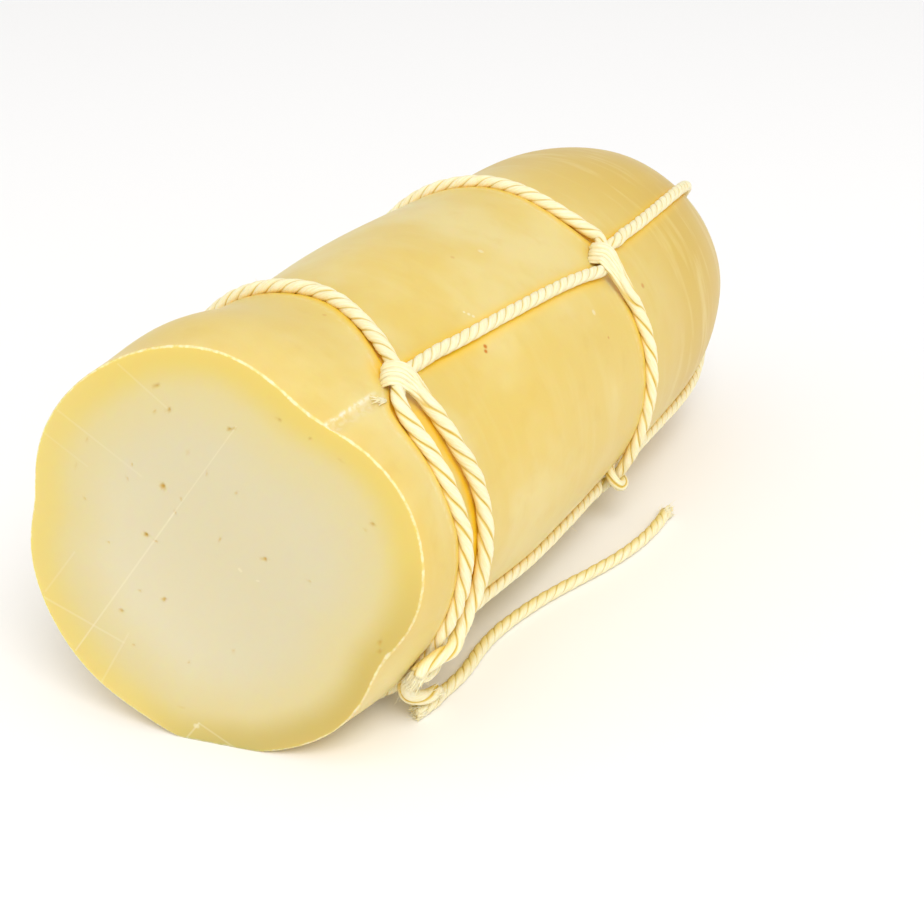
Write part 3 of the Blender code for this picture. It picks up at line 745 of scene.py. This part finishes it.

# Provolone: stretched curd with a smooth waxy rind, and the paler paste that the knife laid
# bare. Light goes a few millimetres into it, so its edges glow and its shadows turn golden; the
# golden shade beside the twine is also painted into its colour.
# Ramps are (what they follow, low, high, least, most).
cheeseLook = {
    "finish": {"IOR": 1.45, "Subsurface Weight": 0.6, "Subsurface Radius": (1.0, 0.6, 0.15),
               "Subsurface Scale": 0.006},
    "rind": "#E0C467", "rindPale": "#E4D088", "rindDeep": "#D9B855", "dome": "#D4B249",
    # the golden colour beside the twine is painted shade
    "pressed": "#FFCC1A", "margin": "#DCC876", "marginGolden": "#DCC568", "marginPaintedShade": "#A28B4A",
    "core": "#DED4B4", "corePaintedShade": "#D3C8A3", "midway": "#D7C891", "rim": "#EFE9CC", "pit": "#C8A548",
    "scratch": "#EBE3C4", "brown": "#C8780C", "speck": "#F3EEDC",
    "directions": {"along": (0.0, 1.0, 0.0), "lower": (0.6, 0.0, -0.8), "upper": (0.8, 0.0, 0.6)},
    "ramps": {
        "cloudy": ("clouds", 0.38, 0.64, 0.0, 1.0), "onDome": ("along", 0.015, 0.085, 0.0, 1.0),
        "drawn": ("bands", 0.5, 0.7, 0.0, 0.5), "drawnMore": ("onDome", 0.0, 1.0, 0.35, 1.0),
        "mottled": ("mottle", 0.5, 0.8, 0.0, 0.3), "golden": ("upper", 0.01, 0.05, 0.0, 1.0),
        # the margin's lower right and most of the core are darkened with painted shade
        "deep": ("lower", -0.025, 0.008, 0.0, 0.42), "coreShade": ("upper", -0.03, 0.045, 0.0, 1.0),
        "towardsCore": ("inward", 9.0, 30.0, 0.0, 1.0), "pastMargin": ("inward", 2.5, 13.5, 0.0, 1.0),
        "atRim": ("ragged", 0.15, 0.6, 0.7, 0.0), "crumbled": ("crumbs", 0.4, 0.6, 0.25, 1.0),
        "roughness": ("cutFace", 0.0, 1.0, 0.34, 0.48),
    },
}
# A knife's drags over the face: both ends across and up from the log's axis, half width, strength.
drags = (((7.0, 37.5), (-12.0, 8.5), 0.2, 0.22), ((-10.0, 11.5), (-40.0, -34.5), 0.26, 0.3),
         ((-25.5, 50.0), (-11.5, 39.5), 0.3, 0.14), ((-43.0, 35.0), (-19.5, 20.0), 0.3, 0.14),
         ((-47.0, 28.0), (-35.0, 20.5), 0.3, 0.1), ((-48.5, -18.0), (-39.5, -5.0), 0.3, 0.14),
         ((-49.0, -20.0), (-25.5, -29.5), 0.35, 0.2), ((-24.0, -26.5), (-33.0, -44.0), 0.3, 0.16),
         ((-7.0, -55.0), (-3.5, -50.0), 0.3, 0.3), ((-3.5, -50.0), (7.0, -55.5), 0.3, 0.25),
         ((8.0, -2.0), (8.5, -2.5), 0.4, 0.35), ((13.0, -4.5), (13.5, -4.5), 0.3, 0.3),
         ((-4.0, -51.0), (-4.5, -51.0), 0.7, 0.5))
# Specks on the rind: kind, angle, distance, half width and strength.
specks = (("brown", 44.6, 83.0, 0.7, 1.0), ("brown", 43.3, 81.9, 0.65, 1.0),
          ("brown", 58.5, 45.5, 0.5, 0.9), ("brown", 29.0, 177.5, 0.9, 0.6),
          ("brown", 22.6, 142.4, 0.5, 0.6), ("brown", 82.5, 48.0, 0.6, 0.35),
          ("brown", 74.5, 106.0, 0.7, 0.3), ("speck", 71.0, 118.0, 0.9, 0.35),
          ("speck", 32.5, 141.0, 0.9, 0.4), ("speck", 57.0, 86.2, 0.4, 0.5),
          ("speck", 55.6, 87.0, 0.5, 0.5), ("speck", 54.2, 87.8, 0.5, 0.5))


def markMask(tree, place, start, stop, width, strength):
    # full strength on the line from start to stop, with a soft edge: it follows the distance to
    # the line's nearest point
    start, stop = toObject(start), toObject(stop)
    line = stop - start
    fromStart = addNode(tree, "ShaderNodeVectorMath", {0: place, 1: start.tolist()}, operation="SUBTRACT")
    share = addNode(tree, "ShaderNodeVectorMath", {0: fromStart, 1: (line / line.dot(line)).tolist()},
                    "Value", operation="DOT_PRODUCT")
    share = addNode(tree, "ShaderNodeClamp", {0: share})
    nearest = addNode(tree, "ShaderNodeVectorMath", {0: line.tolist(), "Scale": share}, operation="SCALE")
    gap = addNode(tree, "ShaderNodeVectorMath", {0: fromStart, 1: nearest}, "Value", operation="DISTANCE")
    return addNode(tree, "ShaderNodeMapRange", {
        "Value": gap, "From Min": 1.4 * width * mm, "From Max": 0.4 * width * mm, "To Max": strength,
    }, interpolation_type="SMOOTHSTEP")


def provolone():
    look = cheeseLook
    material, tree, shader = newMaterial("smoothRindProvolone", look["finish"])
    place = addNode(tree, "ShaderNodeTexCoord", output="Object")
    sources = {key: addNode(tree, "ShaderNodeAttribute", output="Fac", attribute_name=key)
               for key in ("cutFace", "edgeDistance", "pressed", "pit", "imprint")}
    for key, toward in look["directions"].items():
        sources[key] = addNode(tree, "ShaderNodeVectorMath", {0: place, 1: toward}, "Value",
                               operation="DOT_PRODUCT")
    # cloudy patterns, as patches so many millimetres across: bands are drawn out round the log
    # as the curd was stretched
    for key, across, detail, stretched in (("clouds", 45.0, 3.0, (1.0, 1.0, 1.0)),
                                           ("mottle", 9.0, 3.0, (1.0, 1.0, 1.0)),
                                           ("crumbs", 1.6, 3.0, (1.0, 1.0, 1.0)),
                                           ("bands", 26.0, 4.0, (0.8, 5.0, 0.8))):
        vector = addNode(tree, "ShaderNodeMapping", {"Vector": place, "Scale": stretched})
        sources[key] = addNode(tree, "ShaderNodeTexNoise", {
            "Vector": vector, "Scale": 1000 / across, "Detail": detail}, "Fac")
    # distance from the cut's edge in millimetres, shifted by the clouds or roughened by the crumbs
    for key, pattern, span in (("inward", "clouds", 8.0), ("ragged", "crumbs", 0.9)):
        shift = addNode(tree, "ShaderNodeMath", {0: sources[pattern], 1: span, 2: -span / 2},
                        operation="MULTIPLY_ADD")
        sources[key] = addNode(tree, "ShaderNodeMath", {0: sources["edgeDistance"], 1: shift},
                               operation="ADD")
    masks = eased(tree, sources, look["ramps"])
    for key, first, second in (("streaks", "drawn", "drawnMore"), ("crumbly", "imprint", "crumbled")):
        masks[key] = addNode(tree, "ShaderNodeMath", {0: masks[first], 1: masks[second]},
                             operation="MULTIPLY")
    # the rind, with golden painted shade laid along the twine
    rind = layered(tree, look["rind"], [
        (masks["cloudy"], look["rindPale"]), (masks["onDome"], look["dome"]),
        (masks["streaks"], look["rindPale"]), (masks["mottled"], look["rindDeep"]),
        (masks["pressed"], look["pressed"])])
    # the paste: a yellow margin with painted shade at its lower right, that fades to the pale core, with
    # painted shade that fades away towards its lower left
    margin = layered(tree, look["margin"], [(masks["golden"], look["marginGolden"]),
                                            (masks["deep"], look["marginPaintedShade"])])
    core = layered(tree, look["core"], [(masks["coreShade"], look["corePaintedShade"])])
    core = layered(tree, look["midway"], [(masks["towardsCore"], core)])
    # the pits are darkened with painted shade
    paste = layered(tree, margin, [(masks["pastMargin"], core), (masks["pit"], look["pit"])])
    marks = []
    for start, stop, width, strength in drags:
        ends = [(px, logForm["cutSlopeX"] * px + logForm["cutSlopeZ"] * pz, pz) for px, pz in (start, stop)]
        marks.append((markMask(tree, place, *ends, width, strength), look["scratch"]))
    for kind, angle, along, width, strength in specks:
        middle = skin(angle, along)
        marks.append((markMask(tree, place, middle, middle + 0.1, width, strength), look[kind]))
    colour = layered(tree, rind, [(masks["cutFace"], paste), (masks["atRim"], look["rim"]),
                                  (masks["crumbly"], look["speck"]), *marks])
    bump = addNode(tree, "ShaderNodeBump", {"Height": sources["crumbs"], "Strength": 0.2,
                                            "Distance": 0.0002})
    tree.links.new(colour, shader.inputs["Base Color"])
    tree.links.new(masks["roughness"], shader.inputs["Roughness"])
    tree.links.new(bump, shader.inputs["Normal"])
    return material


cheeseMaterial = provolone()

# Small holes in the cut face: across and up in millimetres, then radius and depth. The larger
# ones are placed, and the tiny ones are scattered.
pits = [(-13.5, 18.0, 0.85, 0.7), (-18.5, 3.5, 0.7, 0.6), (15.0, 2.0, 0.65, 0.5), (-11.5, 39.5, 0.6, 0.5),
        (-15.0, 45.5, 0.6, 0.5), (5.0, 36.5, 0.6, 0.5), (47.0, -16.0, 0.6, 0.4), (47.0, -19.0, 0.6, 0.4),
        (-13.5, -14.5, 0.6, 0.5), (-26.0, -20.0, 0.6, 0.4), (44.0, 16.5, 0.6, 0.4), (18.5, 41.0, 0.5, 0.4)]
pitRng = np.random.default_rng(8)
for _ in range(24):
    reach, turn = 48.0 * math.sqrt(pitRng.uniform()), pitRng.uniform(0.0, 2 * math.pi)
    pits.append((reach * math.cos(turn), reach * math.sin(turn), 0.4, 0.25))
# How finely the log is divided: columns round it, rings on the face, rows on each stretch, and
# the narrow rim that rounds the cut's edge.
grid = {"columns": 320, "faceRings": 90, "rows": (46, 70, 22, 44), "rim": 0.35, "faceRadius": 56.0}


def cutPlace(angle):
    # where the slanted cut meets the skin, closed in on in a few rounds
    a = np.radians(angle)
    y = np.zeros_like(a)
    for _ in range(6):
        r = logRadius(angle, y)
        y = logForm["cutSlopeX"] * r * np.cos(a) + logForm["cutSlopeZ"] * r * np.sin(a)
    return y


def columnAngles():
    # equal shares of a density that is higher beside the runs, where the twine presses in
    fine = np.linspace(0.0, 360.0, 7201)
    middles = [stations[2 if len(stations) > 2 else 0][1] for stations in runs.values()]
    density = 1.0 + 2.2 * sum(bell(apart(fine, middle), 7.0) for middle in middles)
    share = np.concatenate([[0.0], np.cumsum((density[1:] + density[:-1]) / 2)])
    return np.interp(np.arange(grid["columns"]) / grid["columns"] * share[-1], share, fine)


# Grooves, each as depth and width in millimetres, then how wide the painted golden shade in it
# is and how far it is shifted.
grooves = {"hoop": (1.15, 1.7, 3.1, 0.3), "run": (1.0, 1.6, 2.9, 0.2), "crossing": (2.4, 5.0, 5.5, 0.0),
           "topCrossing": (1.3, 5.0, 5.5, 0.0), "old": (0.7, 1.9)}


def pressedIn(angle, along):
    # depth of the grooves that the twine sits in, with a pit at each crossing; how much golden
    # shade is painted on the cheese there; and how white it is along older marks
    depth, golden, imprint = np.zeros_like(angle), np.zeros_like(angle), np.zeros_like(angle)

    def sink(kind, distance, share=1.0):
        deep, width, shade, shift = grooves[kind]
        np.maximum(depth, deep * bell(distance, width) * share, out=depth)
        np.maximum(golden, bell(distance + shift, shade) * share, out=golden)

    def around(middle):
        return np.radians(apart(angle, middle)) * logForm["meanRadius"]

    for hoop in hoops.values():
        off = along - hoop["place"](angle)
        sink("hoop", off)
        imprint = np.maximum(imprint, 0.18 * bell(off + 5.6, 0.7))      # a faint line beside the hoop
        for run, crossed in hoop["crossings"].items():
            sink("topCrossing" if run == "upper" else "crossing",
                 np.hypot(along - crossed, around(curveThrough(runs[run], crossed))))
    for run in runs:
        start = hoops["near"]["crossings"][run]
        beyond = curveThrough(((start - 4.0, 0.0), (start + 4.0, 1.0)), along)
        sink("run", around(track(run, along)), beyond)
    # the strand down the flank only rests on the skin: painted golden shade beside it, and
    # between it and the hoop
    turned = apart(angle, 0.0)
    beside = along - curveThrough([row[:2] for row in flankStrand[::-1]], turned)
    ends = curveThrough(((-34.0, 0.0), (-26.0, 1.0), (40.0, 1.0), (50.0, 0.0)), turned)
    golden = np.maximum(golden, 0.8 * bell(beside, 3.0) * ends)
    enclosed = np.clip((along - nearHoopPlace(angle)) / 2.0, 0.0, 1.0) * np.clip(-beside / 2.0, 0.0, 1.0)
    ends = curveThrough(((12.0, 0.0), (26.0, 1.0), (46.0, 1.0), (54.0, 0.0)), turned)
    golden = np.maximum(golden, 0.38 * enclosed * ends)
    # an old groove runs on from the near hitch to the cut, its upper edge crumbled white
    across = around(curveThrough(((0.0, 51.5), (28.0, 50.0)), along))
    before = curveThrough(((27.0, 1.0), (33.0, 0.0)), along)
    deep, width = grooves["old"]
    depth = np.maximum(depth, deep * bell(across, width) * before)
    imprint = np.maximum(imprint, (0.75 * bell(across - 2.1, 0.6) + 0.2 * bell(across, 1.6)) * before)
    return depth, golden, imprint


def relief(angle, along):
    # slow swells of a soft body that was bagged and hung, a third of a millimetre high
    a = np.radians(angle)
    return (0.22 * np.sin(3 * a + along / 19.0) + 0.16 * np.sin(5 * a - along / 13.0 + 1.0)
            + 0.10 * np.sin(8 * a + along / 8.0 + 2.0))


def buildCheese():
    # side = skin at each angle and distance, less the grooves; rows crowd towards the hoops, and
    # nothing dips below the floor
    angle = columnAngles()
    near, far, cut = nearHoopPlace(angle), farHoopPlace(angle), cutPlace(angle)
    counts, rim = grid["rows"], grid["rim"]
    # the last stretch stops short of the pole by about a third of a row
    u = [np.arange(n) / n for n in counts[:3]] + [np.arange(counts[3]) / (counts[3] - 0.35)]
    bothEnds = [t - 0.6 * np.sin(2 * math.pi * t) / (2 * math.pi) for t in u[:2]]
    toStart = u[2] - 0.6 * np.sin(math.pi * u[2]) / math.pi
    stops = [cut + rim, near, far, np.full_like(angle, capStart), np.full_like(angle, pole)]
    along = np.concatenate([(1 - f)[:, None] * start + f[:, None] * stop
                            for f, start, stop in zip([*bothEnds, toStart, u[3]], stops, stops[1:])])
    theta = np.broadcast_to(angle, along.shape)
    depth, golden, imprint = pressedIn(theta, along)
    fade = np.clip((pole - along) / 30.0, 0.0, 1.0)
    side = skin(theta, along, relief(theta, along) * fade - depth)
    side[..., 2] = np.maximum(side[..., 2], floorZ)
    # the face: rings from its middle to the rim, closer together at the rim, and drawn in to
    # the middle of each pit
    outline = skin(angle, cut, relief(angle, cut))
    outline[:, 2] = np.maximum(outline[:, 2], floorZ)
    t = np.arange(1, grid["faceRings"] + 1) / grid["faceRings"]
    t = np.sin(t * math.pi / 2) ** 0.8 * (1.0 - rim / grid["faceRadius"])
    across = t[:, None] * outline[None, :, 0]
    up = t[:, None] * outline[None, :, 2]
    pitDepth = np.zeros_like(across)
    for x, z, radius, deep in pits:
        pull = 0.55 * bell(np.hypot(across - x, up - z), 3.0 * radius)
        across = across - (across - x) * pull
        up = up - (up - z) * pull
        pitDepth = np.maximum(pitDepth, deep * bell(np.hypot(across - x, up - z), 0.75 * radius))
    slope = logForm["cutSlopeX"] * across + logForm["cutSlopeZ"] * up
    face = np.stack([across, slope + pitDepth, up], axis=-1)
    rings = np.concatenate([face, side])[:, ::-1]
    ends = np.array([[0.0, 0.0, 0.0], [0.0, logForm["length"], 0.0]])
    vertices = np.concatenate([rings.reshape(-1, 3), ends])
    # each value on the face and on the side, then at the face's middle and at the pole
    onFace, onSide = np.zeros_like(across), np.zeros_like(along)
    inward = (1.0 - t)[:, None] * np.hypot(outline[:, 0], outline[:, 2])
    table = {"cutFace": (onFace + 1.0, onSide, 1.0, 0.0),
             "edgeDistance": (inward, along - cut, grid["faceRadius"], 300.0),
             "pressed": (onFace, np.minimum(golden * 1.15, 0.92), 0.0, 0.0),
             "imprint": (onFace, imprint, 0.0, 0.0),
             # how deep each pit is, which sets the painted shade in it
             "pit": (np.clip(pitDepth / 0.4, 0.0, 1.0), onSide, 0.0, 0.0)}
    values = {key: np.append(np.concatenate(row[:2])[:, ::-1].ravel(), row[2:])
              for key, row in table.items()}
    quads, fans = ringFaces(len(rings), grid["columns"])
    return meshPiece("provoloneLog", toObject(vertices), quads.tolist() + fans.tolist(), cheeseMaterial,
                     values)


cheese = buildCheese()
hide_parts("cheese")
print("cheese moulded", len(cheese.data.polygons), "faces")

# Plain pale floor, and soft light from above on the knot's side with a weak fill.
floorMesh = bpy.data.meshes.new("floor")
floorMesh.from_pydata([(-3, -3, 0), (3, -3, 0), (3, 3, 0), (-3, 3, 0)], [], [(0, 1, 2, 3)])
floor = bpy.data.objects.new("floor", floorMesh)
scene.collection.objects.link(floor)
floorLook = {"Base Color": linear("#FBFAF9"), "Roughness": 0.9}
floorMesh.materials.append(newMaterial("paleMatPaper", floorLook)[0])

lights = {"key": {"toward": (0.45, -0.5, 0.74), "distance": 3.0, "size": 1.7, "power": 46.0},
          "fill": {"toward": (-0.6, -0.7, 0.4), "distance": 3.0, "size": 2.0, "power": 4.0}}
for lightName, spec in lights.items():
    data = bpy.data.lights.new(lightName, "AREA")
    data.shape = "DISK"
    data.size = spec["size"]
    data.energy = spec["power"]
    toward = np.array(spec["toward"]) / np.linalg.norm(spec["toward"])
    lamp = bpy.data.objects.new(lightName, data)
    lamp.location = toward * spec["distance"] + np.array([0.0, 0.0, 0.05])
    # a lamp shines down its own -Z, so it leans over by its angle from upright, turned to face the log
    lamp.rotation_euler = (math.acos(toward[2]), 0.0, math.atan2(toward[0], -toward[1]))
    scene.collection.objects.link(lamp)
world = bpy.data.worlds.new("studio")
world.use_nodes = True
world.node_tree.nodes["Background"].inputs["Color"].default_value = (1.0, 1.0, 1.0, 1.0)
world.node_tree.nodes["Background"].inputs["Strength"].default_value = 0.75
scene.world = world
scene.view_settings.view_transform = "Standard"
print("studio lit")
